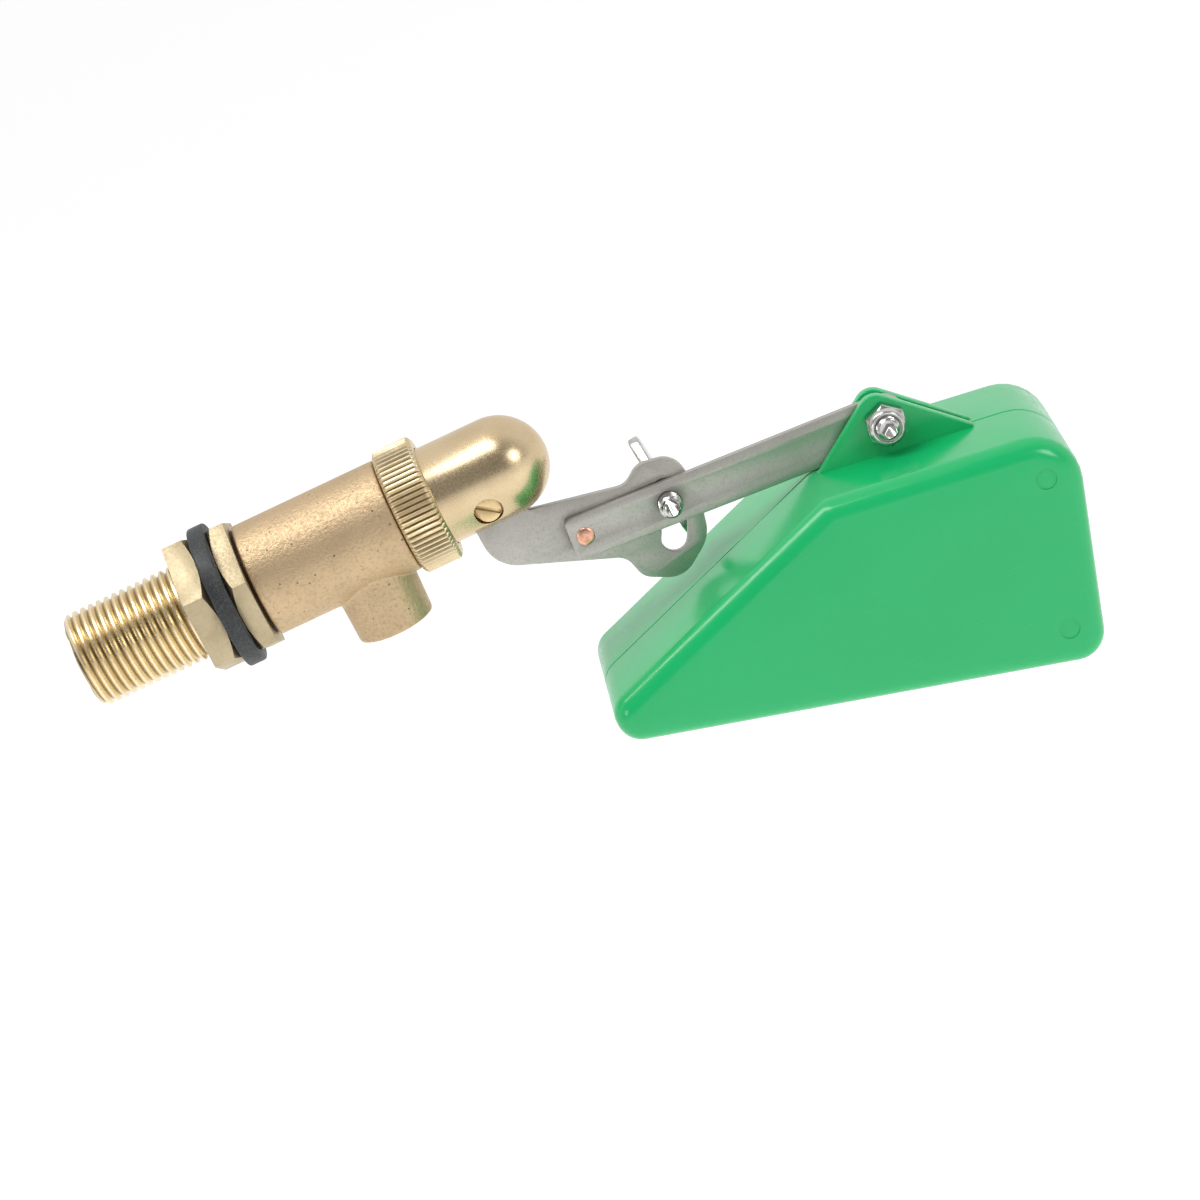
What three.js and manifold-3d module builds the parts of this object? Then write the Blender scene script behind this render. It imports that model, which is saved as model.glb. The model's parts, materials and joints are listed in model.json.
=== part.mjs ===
// A half-inch float valve with a threaded inlet, a round bottom outlet, a hinged lever and a plastic float.
// Millimetres. +X runs along the valve's axis from the inlet to the bonnet, +Z is up.
// The origin is on the valve's axis, in the face of the hex flange that seals against the tank wall.
import * as THREE from "three";
import { mergeVertices } from "three/addons/utils/BufferGeometryUtils.js";
import Module from "manifold-3d";

const wasm = await Module();
wasm.setup();

const degree = Math.PI / 180;
const gap = 0.3; // clearance between neighbouring pieces
const roundSteps = 36; // sides of a large round
const smallSteps = 18; // sides of a small round

// Inlet thread G 1/2, its hexes and its washer
const threadRadius = 10.48;
const threadLength = 35.4;
const threadChamfer = 1.2;
const inletBore = 7.5;
const hexAcrossFlats = 27.2;
const hexChamfer = 1.2;
const flangeThickness = 4.2;
const flangeTurn = 13 * degree;
const locknutTurn = 9.4 * degree;
const locknutThickness = 5.6;
const washerRadius = 15.8;
const washerThickness = 3.6;

// Barrel, its chamber and its outlet spout
const barrelRadius = 12.45;
const barrelEnd = 37.5;
const webStart = 6.6;
const webEnd = 12.6;
const chamberRadius = 9.5;
const nippleRadius = 11.4;
const nippleEnd = 42.8;
const spoutX = 27.2;
const spoutRootRadius = 8.95;
const spoutEndRadius = 8.4;
const spoutBore = 6.2;
const spoutEnd = -21.5;

// Seat nozzle, pressed into the web
const nozzleBore = 3;
const nozzleShank = 5;
const nozzleFlange = 6.8;
const nozzleLip = 15.8;
const nozzleLipRadius = 4.1;
const nozzleGrooveStart = 8.6;
const nozzleGrooveEnd = 10.4;
const nozzleGrooveRadius = 4.2;

// Knurled union nut
const unionRadius = 13.9;
const knurlDepth = 0.45;
const knurlRidges = 64;
const unionEnd = 46.7;
const unionChamfer = 0.8;

// Bonnet
const bonnetRadius = 10.75;
const bonnetSphereX = 61.1;
const bonnetFlangeStart = 44.2;
const bonnetFlangeThickness = 1;
const bonnetFlangeRadius = 11.3;
const spigotStart = 34.6;
const spigotRadius = 9.2;
const stemBore = 5.3;
const stemBoreEnd = 50.6;
const leverSlotWidth = 2.6;
const leverSlotCorners = [
  [47, 6.3], [47, -5], [49.6, -6.5], [49.6, -14], [70.6, -14], [70.6, -5.3], [62.2, -5.3], [62.2, 6.3],
];

// Piston
const pistonHeadRadius = 8;
const pistonHeadStart = 19.5;
const pistonHeadLength = 7.1;
const stemRadius = 5;
const stemEnd = 49.7;
const pocketRadius = 7.2;
const pocketDepth = 2.1;
const sealDiscStart = 18.2;
const sealDiscRadius = 6.9;
const sealDiscThickness = 3.1;

// Lever plate, which turns on the pivot pin
const pivot = new THREE.Vector3(55.6, 0, -5.6);
const pinRadius = 1.75;
const pinHeadRadius = 2.7;
const pinHeadStart = -6.9;
const pinHeadEnd = -5.2;
const pinEnd = 7;
const pinSlotWidth = 0.8;
const pinSlotFloor = -6.1;
const leverThickness = 2;
const lobeRadius = 5.4;
const rivetFromPivot = new THREE.Vector2(15.66, -15.3);
const leverCorners = [
  [-4.6, -14.2, 8], [21.2, -24.3, 4], [22.8, -29.4, 4], [30.5, -33.4, 6], [39, -27.4, 8],
  [41.2, -16.9, 12], [39.5, -8, 5], [31.6, -6.6, 4.5], [27.6, -9.7, 4], [6.2, -5.3, 2],
];

// Arm, which turns on the rivet and is clamped by the wing screw
const armDrop = 3.77 * degree;
const armLength = 67;
const armLeftEnd = -3.3;
const armHalfWidth = 4.6;
const armEndHalfWidth = 5.1;
const armThickness = 2;
const armBackY = -1.3;
const armFrontY = armBackY - armThickness;
const rivetRadius = 1.9;
const rivetHeadRadius = 2.7;
const rivetHeadHeight = 0.7;
const clampRadius = 18.95; // rivet to wing screw
const clampSlotFrom = -30 * degree;
const clampSlotTo = 3 * degree;
const clampSlotHalfWidth = 2.75;

// M5 fasteners
const boltRadius = 2.5;
const boltHole = 2.8;
const boltAcrossFlats = 8;
const boltHeadHeight = 3.5;
const boltChamfer = 0.5;
const floatBoltEnd = -12.6;
const nutHeight = 3.6;
const nutTurn = 10 * degree;
const collarHeight = 5;
const collarRadius = 3.95;
const wingScrewEnd = -7.2;
const wingTilt = -8 * degree;
const wingThickness = 2.4;
const wingCorners = [[1, 2, 0.5], [8, 3.5, 3], [13.2, 8, 3], [12, 14.2, 3], [6.5, 11.5, 3], [1, 7.2, 1]];
const hubLength = 6.4;
const hubRootRadius = 4.6;
const hubTipRadius = 3.7;

// Float: two moulded halves, with one ear each beside the arm
const floatMiddleY = -2.3;
const floatHalfWidth = 26.5;
const floatBevel = 4;
const floatWall = 2;
const earThickness = 2.6;
const floatCorners = [
  [-77, -25, 4.5],
  [-18.5, -4, 4.5],
  [35.3, -11.8, 10],
  [21.5, -60.7, 6],
  [-77, -33.5, 5],
];
const earCorners = [
  [-17.6, -4.4, 0.3],
  [-0.5, 7.5, 4],
  [16.5, -8.5, 0.3],
  [16.2, -10, 0.3],
  [-17.6, -5.4, 0.3],
];

const brass = { color: 0xb08d3c, roughness: 0.38, metalness: 1 };
const castBrass = { color: 0xa88a45, roughness: 0.6, metalness: 1 };
const stainless = { color: 0x9c9a95, roughness: 0.35, metalness: 1 };
const copper = { color: 0xa9643c, roughness: 0.35, metalness: 1 };
const rubber = { color: 0x161616, roughness: 0.8, metalness: 0 };
const greenPlastic = { color: 0x1c7a40, roughness: 0.2, metalness: 0 };
const whitePlastic = { color: 0xe6e6e0, roughness: 0.5, metalness: 0 };

// One closed solid of a closed geometry, whichever way its triangles were wound.
function solid(geometry) {
  const bare = geometry.clone();
  bare.deleteAttribute("normal");
  bare.deleteAttribute("uv");
  const merged = mergeVertices(bare, 1e-4);
  const points = merged.getAttribute("position");
  const corners = [0, 1, 2].map(() => new THREE.Vector3());
  const triangles = [];
  let volume = 0;
  for (let i = 0; i < merged.index.count; i += 3) {
    const triangle = [0, 1, 2].map((k) => merged.index.getX(i + k));
    if (new Set(triangle).size < 3) continue;
    triangles.push(triangle);
    corners.forEach((corner, k) => corner.fromBufferAttribute(points, triangle[k]));
    volume += corners[0].dot(corners[1].cross(corners[2]));
  }
  const outward = triangles.map((triangle) => (volume < 0 ? triangle.toReversed() : triangle));
  const vertProperties = new Float32Array(points.array);
  const triVerts = new Uint32Array(outward.flat());
  return new wasm.Manifold(new wasm.Mesh({ numProp: 3, vertProperties, triVerts }));
}

function joined(first, ...others) {
  return others.reduce((whole, other) => whole.add(other), first);
}

function cut(whole, ...tools) {
  return tools.reduce((rest, tool) => rest.subtract(tool), whole);
}

function mesh(name, shape, material, x = 0, y = 0, z = 0) {
  const { vertProperties, triVerts } = shape.getMesh();
  const geometry = new THREE.BufferGeometry();
  geometry.setAttribute("position", new THREE.BufferAttribute(vertProperties, 3));
  geometry.setIndex(new THREE.BufferAttribute(triVerts, 1));
  geometry.computeVertexNormals();
  const piece = new THREE.Mesh(geometry, new THREE.MeshStandardMaterial(material));
  piece.name = name;
  piece.position.set(x, y, z);
  return piece;
}

// A turned solid about the Y axis, from a closed profile of [distance along the axis, radius].
function turned(profile, steps = roundSteps) {
  const points = [...profile, profile[0]].map(([along, radius]) => new THREE.Vector2(radius, along));
  return new THREE.LatheGeometry(points, steps);
}

function turnedOnX(profile, steps) {
  return solid(turned(profile, steps).rotateZ(-90 * degree));
}

function turnedOnY(profile, steps = smallSteps) {
  return solid(turned(profile, steps));
}

function ring(turn, from, to, inner, outer, steps) {
  return turn([[from, inner], [from, outer], [to, outer], [to, inner]], steps);
}

function rod(turn, from, to, radius, steps) {
  return ring(turn, from, to, 0, radius, steps);
}

// The points of a closed outline through [x, z, radius] corners, each rounded by a tangent arc.
function roundedPoints(corners, arcSteps = 6) {
  return corners.flatMap(([x, z, radius], i) => {
    const corner = new THREE.Vector2(x, z);
    const back = new THREE.Vector2(...corners.at(i - 1)).sub(corner).normalize();
    const on = new THREE.Vector2(...corners[(i + 1) % corners.length]).sub(corner).normalize();
    const half = Math.acos(back.dot(on)) / 2;
    const centre = back.clone().add(on).setLength(radius / Math.sin(half)).add(corner);
    const start = back.clone().multiplyScalar(radius / Math.tan(half)).add(corner).sub(centre);
    const sweep = (180 * degree - 2 * half) * Math.sign(on.cross(back));
    return Array.from({ length: arcSteps + 1 }, (_, step) =>
      start.clone().rotateAround(new THREE.Vector2(), (sweep * step) / arcSteps).add(centre));
  });
}

function roundedOutline(corners, arcSteps) {
  return new THREE.Shape(roundedPoints(corners, arcSteps));
}

// A flat plate with its outline in the XZ plane, between two distances along Y.
function plate(shape, fromY, toY, arcSteps = 6) {
  const options = { depth: toY - fromY, bevelEnabled: false, curveSegments: arcSteps };
  return solid(new THREE.ExtrudeGeometry(shape, options).rotateX(90 * degree).translate(0, toY, 0));
}

function box(from, to) {
  const size = to.map((high, i) => high - from[i]);
  const middle = to.map((high, i) => (high + from[i]) / 2);
  return solid(new THREE.BoxGeometry(...size).translate(...middle));
}

function hexPrism(acrossFlats, from, to, turn) {
  const corner = acrossFlats / Math.sqrt(3);
  const prism = new THREE.CylinderGeometry(corner, corner, to - from, 6);
  return prism.rotateY(turn).translate(0, (from + to) / 2, 0);
}

// A fastener's shank along Y, chamfered at its front end.
function boltShank(from, to) {
  return turnedOnY([
    [from, 0], [from, boltRadius - boltChamfer], [from + boltChamfer, boltRadius], [to, boltRadius], [to, 0],
  ]);
}

// A hex prism along X whose corners are chamfered on the face that lies against the washer.
function chamferedHex(washerFace, otherFace, turn) {
  const corner = hexAcrossFlats / Math.sqrt(3);
  const chamferEnd = washerFace + hexChamfer * Math.sign(otherFace - washerFace);
  const chamfer = turnedOnX([
    [washerFace, 0], [washerFace, corner - hexChamfer * 1.7], [chamferEnd, corner + 0.01],
    [otherFace, corner + 0.01], [otherFace, 0],
  ]);
  const [from, to] = [Math.min(washerFace, otherFace), Math.max(washerFace, otherFace)];
  return solid(hexPrism(hexAcrossFlats, from, to, turn).rotateZ(-90 * degree)).intersect(chamfer);
}

function makeBodyCasting() {
  const thread = turnedOnX([
    [-threadLength, 0], [-threadLength, threadRadius - threadChamfer],
    [-threadLength + threadChamfer, threadRadius], [1, threadRadius], [1, 0],
  ]);
  const flange = chamferedHex(0, flangeThickness, flangeTurn);
  const barrel = rod(turnedOnX, 1, barrelEnd, barrelRadius);
  const nipple = rod(turnedOnX, barrelEnd - 1, nippleEnd, nippleRadius);
  const upright = (shape) => shape.rotate([90, 0, 0]).translate([spoutX, 0, 0]);
  const spout = upright(turnedOnY([
    [spoutEnd, 0], [spoutEnd, spoutEndRadius], [-4, spoutRootRadius], [-4, 0],
  ], roundSteps));
  const outlet = upright(rod(turnedOnY, spoutEnd - 1, 0, spoutBore, roundSteps));
  return cut(
    joined(thread, flange, barrel, nipple, spout),
    rod(turnedOnX, -threadLength - 1, webStart, inletBore),
    rod(turnedOnX, webStart - 1, webEnd + 1, nozzleShank + gap),
    rod(turnedOnX, webEnd, nippleEnd + 1, chamberRadius),
    outlet,
  );
}

function makeSeatNozzle() {
  const flangeStart = webEnd + gap;
  return turnedOnX([
    [webStart + gap, nozzleBore], [webStart + gap, nozzleShank], [nozzleGrooveStart, nozzleShank],
    [nozzleGrooveStart, nozzleGrooveRadius], [nozzleGrooveEnd, nozzleGrooveRadius],
    [nozzleGrooveEnd, nozzleShank], [flangeStart, nozzleShank], [flangeStart, nozzleFlange],
    [flangeStart + 1.5, nozzleFlange], [nozzleLip - 0.2, nozzleLipRadius + 0.3],
    [nozzleLip, nozzleLipRadius], [nozzleLip, nozzleBore],
  ], 32);
}

function makeSeatRing() {
  const [from, to] = [nozzleGrooveStart + gap, nozzleGrooveEnd - gap];
  return ring(turnedOnX, from, to, nozzleGrooveRadius + 0.25, nozzleShank + 0.15, 32);
}

function makeTankWasher() {
  return ring(turnedOnX, -gap - washerThickness, -gap, threadRadius + 0.4, washerRadius);
}

function makeLocknut() {
  const to = -2 * gap - washerThickness;
  const from = to - locknutThickness;
  const bore = rod(turnedOnX, from - 1, to + 1, threadRadius + gap);
  return chamferedHex(to, from, locknutTurn).subtract(bore);
}

function makeUnionNut() {
  const from = barrelEnd + gap;
  const rim = new THREE.Shape();
  for (let i = 0; i < knurlRidges * 2; i++) {
    const angle = (i / (knurlRidges * 2)) * 360 * degree;
    const radius = i % 2 ? unionRadius : unionRadius - knurlDepth;
    const point = [radius * Math.cos(angle), radius * Math.sin(angle)];
    if (i === 0) rim.moveTo(...point);
    else rim.lineTo(...point);
  }
  rim.closePath();
  const knurl = new THREE.ExtrudeGeometry(rim, { depth: unionEnd - from, bevelEnabled: false });
  const rimRadius = unionRadius - unionChamfer;
  const chamfers = turnedOnX([
    [from, 0], [from, rimRadius], [from + unionChamfer, unionRadius],
    [unionEnd - unionChamfer, unionRadius], [unionEnd, rimRadius], [unionEnd, 0],
  ]);
  const bonnetFlangeEnd = bonnetFlangeStart + bonnetFlangeThickness + gap;
  return cut(
    solid(knurl.rotateY(90 * degree).translate(from, 0, 0)).intersect(chamfers),
    rod(turnedOnX, from - 1, bonnetFlangeEnd, nippleRadius + gap),
    rod(turnedOnX, from - 1, unionEnd + 1, bonnetRadius + gap),
  );
}

function makeBonnetSeal() {
  return ring(turnedOnX, nippleEnd + gap, bonnetFlangeStart - gap, spigotRadius + gap, bonnetFlangeRadius);
}

function makeBonnet() {
  const flangeEnd = bonnetFlangeStart + bonnetFlangeThickness;
  const dome = [];
  for (let angle = 0; angle < 90; angle += 11.25) {
    const along = bonnetSphereX + bonnetRadius * Math.sin(angle * degree);
    dome.push([along, bonnetRadius * Math.cos(angle * degree)]);
  }
  const shell = turnedOnX([
    [spigotStart, 0], [spigotStart, spigotRadius], [bonnetFlangeStart, spigotRadius],
    [bonnetFlangeStart, bonnetFlangeRadius], [flangeEnd, bonnetFlangeRadius], [flangeEnd, bonnetRadius],
    ...dome, [bonnetSphereX + bonnetRadius, 0],
  ]);
  const slot = new THREE.Shape(leverSlotCorners.map(([x, z]) => new THREE.Vector2(x, z)));
  const pinHole = rod(turnedOnY, pinHeadEnd - 0.8, pinEnd + 0.4, pinRadius + gap).translate(pivot.toArray());
  const recess = rod(turnedOnY, -12, pinHeadEnd + gap, pinHeadRadius + gap).translate(pivot.toArray());
  return cut(
    shell,
    rod(turnedOnX, spigotStart - 1, stemBoreEnd, stemBore, 32),
    plate(slot, -leverSlotWidth / 2, leverSlotWidth / 2),
    pinHole,
    recess,
  );
}

function makePivotPin() {
  const head = turnedOnY([
    [pinHeadStart, 0], [pinHeadStart, pinHeadRadius - 0.3], [pinHeadStart + 0.3, pinHeadRadius],
    [pinHeadEnd, pinHeadRadius], [pinHeadEnd, 0],
  ]);
  const shank = rod(turnedOnY, pinHeadEnd - 0.3, pinEnd, pinRadius);
  const slot = box([-4, pinHeadStart - 1, -pinSlotWidth / 2], [4, pinSlotFloor, pinSlotWidth / 2]);
  return head.add(shank).subtract(slot);
}

function makePiston() {
  const headEnd = pistonHeadStart + pistonHeadLength;
  const pocketEnd = pistonHeadStart + pocketDepth;
  return turnedOnX([
    [pocketEnd, 0], [pocketEnd, pocketRadius], [pistonHeadStart, pocketRadius],
    [pistonHeadStart, pistonHeadRadius], [headEnd, pistonHeadRadius], [headEnd, stemRadius],
    [stemEnd - 0.6, stemRadius], [stemEnd, stemRadius - 0.6], [stemEnd, 0],
  ], 32);
}

function makePistonSeal() {
  return rod(turnedOnX, sealDiscStart, sealDiscStart + sealDiscThickness, sealDiscRadius, 32);
}

function makeLeverPlate() {
  const lobe = lobeRadius + 0.1;
  const outline = roundedOutline([
    [-lobe, -pivot.z + lobe, lobeRadius], ...leverCorners, [lobe, -pivot.z + lobe, lobeRadius],
  ]);
  const [rivetX, rivetZ] = rivetFromPivot;
  const slot = new THREE.Shape();
  slot.absarc(rivetX, rivetZ, clampRadius + clampSlotHalfWidth, clampSlotFrom, clampSlotTo, false);
  const slotEnd = (angle, from, to) => {
    const [x, z] = [Math.cos(angle), Math.sin(angle)].map((part) => part * clampRadius);
    slot.absarc(rivetX + x, rivetZ + z, clampSlotHalfWidth, from, to, false);
  };
  slotEnd(clampSlotTo, clampSlotTo, clampSlotTo + 180 * degree);
  slot.absarc(rivetX, rivetZ, clampRadius - clampSlotHalfWidth, clampSlotTo, clampSlotFrom, true);
  slotEnd(clampSlotFrom, clampSlotFrom - 180 * degree, clampSlotFrom);
  const half = leverThickness / 2;
  return cut(
    plate(outline, -half, half),
    plate(slot, -half - 1, half + 1, 10),
    rod(turnedOnY, -half - 1, half + 1, pinRadius + gap),
    rod(turnedOnY, -half - 1, half + 1, rivetRadius + gap).translate([rivetX, 0, rivetZ]),
  );
}

function makeArmRivet() {
  const back = leverThickness / 2 + gap;
  const front = armFrontY - gap;
  return turnedOnY([
    [front - rivetHeadHeight, 0], [front - rivetHeadHeight, rivetHeadRadius - 0.6], [front, rivetHeadRadius],
    [front, rivetRadius], [back, rivetRadius], [back, rivetHeadRadius],
    [back + rivetHeadHeight, rivetHeadRadius - 0.6], [back + rivetHeadHeight, 0],
  ]);
}

function makeLeverArm() {
  const end = armLength + armEndHalfWidth;
  const outline = roundedOutline([
    [armLeftEnd, -armHalfWidth, 1.4], [end, -armEndHalfWidth, 5],
    [end, armEndHalfWidth, 5], [armLeftEnd, armHalfWidth, 1.4],
  ]);
  const holes = [[0, rivetRadius + gap], [clampRadius, boltHole], [armLength, boltHole]];
  const tools = holes.map(([x, radius]) =>
    rod(turnedOnY, armFrontY - 1, armBackY + 1, radius).translate([x, 0, 0]));
  return cut(plate(outline, armFrontY, armBackY), ...tools);
}

function makeWingScrew() {
  const hubStart = leverThickness / 2 + gap;
  const hubEnd = hubStart + hubLength;
  const hub = turnedOnY([[hubStart, 0], [hubStart, hubRootRadius], [hubEnd, hubTipRadius], [hubEnd, 0]]);
  const options = { depth: wingThickness, bevelEnabled: false, curveSegments: 5 };
  const blade = new THREE.ExtrudeGeometry(roundedOutline(wingCorners), options);
  const upper = solid(blade.translate(0, 0, -wingThickness / 2).rotateY(-90 * degree));
  return joined(hub, boltShank(wingScrewEnd, hubStart + 1), upper, upper.rotate([0, 180, 0]));
}

function makeFloatBolt() {
  const headStart = floatMiddleY + armThickness / 2 + gap + earThickness + gap;
  const head = solid(hexPrism(boltAcrossFlats, headStart, headStart + boltHeadHeight, 0));
  return head.add(boltShank(floatBoltEnd, headStart + 1));
}

const nutSeatY = floatMiddleY - armThickness / 2 - gap - earThickness - gap;

function makeFloatNut() {
  const end = nutSeatY - collarHeight;
  const hex = solid(hexPrism(boltAcrossFlats, nutSeatY - nutHeight, nutSeatY, nutTurn));
  const collar = turnedOnY([
    [end, 0], [end, collarRadius - 0.55], [end + 0.4, collarRadius],
    [end + 1.5, collarRadius], [end + 1.5, 0],
  ]);
  const pocket = rod(turnedOnY, end + 0.3, end + 1.8, collarRadius - 0.5);
  return cut(hex.add(collar), pocket, rod(turnedOnY, end - 1, nutSeatY + 1, boltHole));
}

function makeNutInsert() {
  const end = nutSeatY - collarHeight;
  return ring(turnedOnY, end + 0.6, end + 1.5, 2.75, 3.15, smallSteps);
}

// The float's outline with every side moved inwards by an inset.
function floatLoop(y, inset) {
  const moved = floatCorners.map(([x, z, radius], i) => {
    const corner = new THREE.Vector2(x, z);
    const back = new THREE.Vector2(...floatCorners.at(i - 1)).sub(corner).normalize();
    const next = new THREE.Vector2(...floatCorners[(i + 1) % floatCorners.length]);
    const on = next.sub(corner).normalize();
    const reach = inset / Math.sin(Math.acos(back.dot(on)) / 2);
    const place = back.add(on).setLength(reach).add(corner);
    return [place.x, place.y, Math.max(radius - inset, 0.5)];
  });
  return roundedPoints(moved).map((point) => new THREE.Vector3(point.x, y, point.y));
}

// A solid lofted through convex loops that all have the same number of points.
function loft(loops) {
  const count = loops[0].length;
  const triangles = [];
  loops.slice(1).forEach((upper, level) => {
    const lower = loops[level];
    for (let i = 0; i < count; i++) {
      const next = (i + 1) % count;
      triangles.push(lower[i], lower[next], upper[next], lower[i], upper[next], upper[i]);
    }
  });
  for (let i = 1; i < count - 1; i++) {
    triangles.push(loops[0][0], loops[0][i + 1], loops[0][i]);
    triangles.push(loops.at(-1)[0], loops.at(-1)[i], loops.at(-1)[i + 1]);
  }
  return solid(new THREE.BufferGeometry().setFromPoints(triangles));
}

// side is -1 for the front half and +1 for the back half.
function makeFloatShell(side) {
  const level = (distance, inset) => floatLoop(floatMiddleY + side * distance, inset);
  const seam = gap / 2;
  const straight = floatHalfWidth - floatBevel;
  const shoulder = floatHalfWidth - floatBevel * 0.45;
  const outer = loft([
    level(seam, 0), level(straight, 0), level(shoulder, floatBevel * 0.35), level(floatHalfWidth, floatBevel),
  ]);
  const inner = loft([
    level(-1, floatWall), level(straight - 1, floatWall), level(floatHalfWidth - floatWall, floatBevel + 0.6),
  ]);
  const earNear = armThickness / 2 + gap;
  const earSides = [earNear, earNear + earThickness].map((distance) => floatMiddleY + side * distance);
  const ear = plate(roundedOutline(earCorners), Math.min(...earSides), Math.max(...earSides));
  const hole = rod(turnedOnY, earSides[0] - 5, earSides[0] + 5, boltHole);
  return outer.subtract(inner).add(ear).subtract(hole);
}

function group(position, turn, ...children) {
  const holder = new THREE.Group();
  holder.position.copy(position);
  holder.rotation.y = turn;
  holder.add(...children);
  return holder;
}

const floatAssembly = group(
  new THREE.Vector3(armLength, 0, 0), -armDrop,
  mesh("float_shell_front", makeFloatShell(-1), greenPlastic),
  mesh("float_shell_back", makeFloatShell(1), greenPlastic),
  mesh("float_bolt", makeFloatBolt(), stainless),
  mesh("float_nut", makeFloatNut(), stainless),
  mesh("float_nut_insert", makeNutInsert(), whitePlastic),
);

const wingScrew = mesh("wing_screw", makeWingScrew(), stainless, clampRadius);
wingScrew.rotation.y = wingTilt - armDrop;

const armAssembly = group(
  new THREE.Vector3(rivetFromPivot.x, 0, rivetFromPivot.y), armDrop,
  mesh("lever_arm", makeLeverArm(), stainless),
  wingScrew,
  floatAssembly,
);

const leverAssembly = group(
  pivot, 0,
  mesh("lever_plate", makeLeverPlate(), stainless),
  mesh("arm_rivet", makeArmRivet(), copper, rivetFromPivot.x, 0, rivetFromPivot.y),
  armAssembly,
);

const valve = new THREE.Group();
valve.add(
  mesh("body_casting", makeBodyCasting(), castBrass),
  mesh("seat_nozzle", makeSeatNozzle(), whitePlastic),
  mesh("seat_o_ring", makeSeatRing(), rubber),
  mesh("tank_washer", makeTankWasher(), rubber),
  mesh("locknut", makeLocknut(), brass),
  mesh("union_nut", makeUnionNut(), brass),
  mesh("bonnet_seal", makeBonnetSeal(), rubber),
  mesh("bonnet", makeBonnet(), brass),
  mesh("pivot_pin", makePivotPin(), brass, pivot.x, pivot.y, pivot.z),
  mesh("piston", makePiston(), brass),
  mesh("piston_seal", makePistonSeal(), rubber),
  leverAssembly,
);

export default valve;
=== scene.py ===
import json
import math
import bpy
from mathutils import Matrix, Vector


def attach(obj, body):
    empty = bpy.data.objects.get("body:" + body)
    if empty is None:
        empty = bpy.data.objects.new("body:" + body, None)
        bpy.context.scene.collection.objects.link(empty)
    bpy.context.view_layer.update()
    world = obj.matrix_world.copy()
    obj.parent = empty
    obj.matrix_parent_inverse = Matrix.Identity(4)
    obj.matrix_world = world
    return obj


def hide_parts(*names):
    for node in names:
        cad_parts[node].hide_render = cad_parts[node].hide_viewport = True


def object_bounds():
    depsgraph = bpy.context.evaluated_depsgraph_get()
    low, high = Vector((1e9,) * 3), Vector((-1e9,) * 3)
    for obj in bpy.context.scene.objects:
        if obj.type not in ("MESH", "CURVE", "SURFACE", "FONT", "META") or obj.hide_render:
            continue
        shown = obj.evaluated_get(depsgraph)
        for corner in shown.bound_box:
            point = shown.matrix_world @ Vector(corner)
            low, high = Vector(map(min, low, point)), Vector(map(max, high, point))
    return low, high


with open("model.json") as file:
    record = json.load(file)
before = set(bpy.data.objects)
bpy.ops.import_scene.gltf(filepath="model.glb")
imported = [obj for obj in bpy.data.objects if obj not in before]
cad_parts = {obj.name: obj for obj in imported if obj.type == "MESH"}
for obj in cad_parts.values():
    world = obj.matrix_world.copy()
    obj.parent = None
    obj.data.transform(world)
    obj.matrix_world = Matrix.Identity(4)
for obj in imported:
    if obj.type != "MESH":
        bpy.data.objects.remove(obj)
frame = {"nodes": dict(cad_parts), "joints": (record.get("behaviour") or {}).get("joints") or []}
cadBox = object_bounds()
mm = 0.001
jointAt = {joint["name"]: Vector(joint["pos_m"]) / mm for joint in frame["joints"] if "pos_m" in joint}
pivotAt = jointAt["lever_lift"]
rivetAt = jointAt["arm_adjust"]
screwAt = jointAt["wing_screw_turn"]
boltAt = jointAt["float_tilt"]
print("frame loaded:", len(frame["nodes"]), "nodes")


# modelling helpers: lengths are in millimetres and become metres where a mesh is made

def activate(obj):
    if bpy.context.object and bpy.context.object.mode != "OBJECT":
        bpy.ops.object.mode_set(mode="OBJECT")
    bpy.ops.object.select_all(action="DESELECT")
    obj.select_set(True)
    bpy.context.view_layer.objects.active = obj


def placed(obj, matrix):
    # turns and moves a piece, then puts its place into its mesh
    obj.matrix_world = matrix
    activate(obj)
    bpy.ops.object.transform_apply(location=True, rotation=True, scale=True)
    return obj


def moved(obj, x, y, z):
    return placed(obj, Matrix.Translation(Vector((x, y, z)) * mm))


def modified(obj, kind, **settings):
    activate(obj)
    modifier = obj.modifiers.new(kind.title(), kind)
    for setting, value in settings.items():
        setattr(modifier, setting, value)
    bpy.ops.object.modifier_apply(modifier=modifier.name)
    return obj


def carved(obj, *tools, operation="DIFFERENCE"):
    for tool in tools:
        modified(obj, "BOOLEAN", object=tool, operation=operation, solver="EXACT")
        bpy.data.objects.remove(tool)
    return obj


def bevelled(obj, width, segments=2, angle=32):
    return modified(obj, "BEVEL", width=width * mm, segments=segments, limit_method="ANGLE",
                    angle_limit=math.radians(angle), use_clamp_overlap=True)


def smoothed(obj, angle=34):
    activate(obj)
    bpy.ops.object.shade_smooth_by_angle(angle=math.radians(angle))
    return obj


def welded():
    bpy.ops.mesh.select_all(action="SELECT")
    bpy.ops.mesh.remove_doubles(threshold=0.002 * mm)
    bpy.ops.mesh.select_all(action="SELECT")
    bpy.ops.mesh.normals_make_consistent(inside=False)


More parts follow.
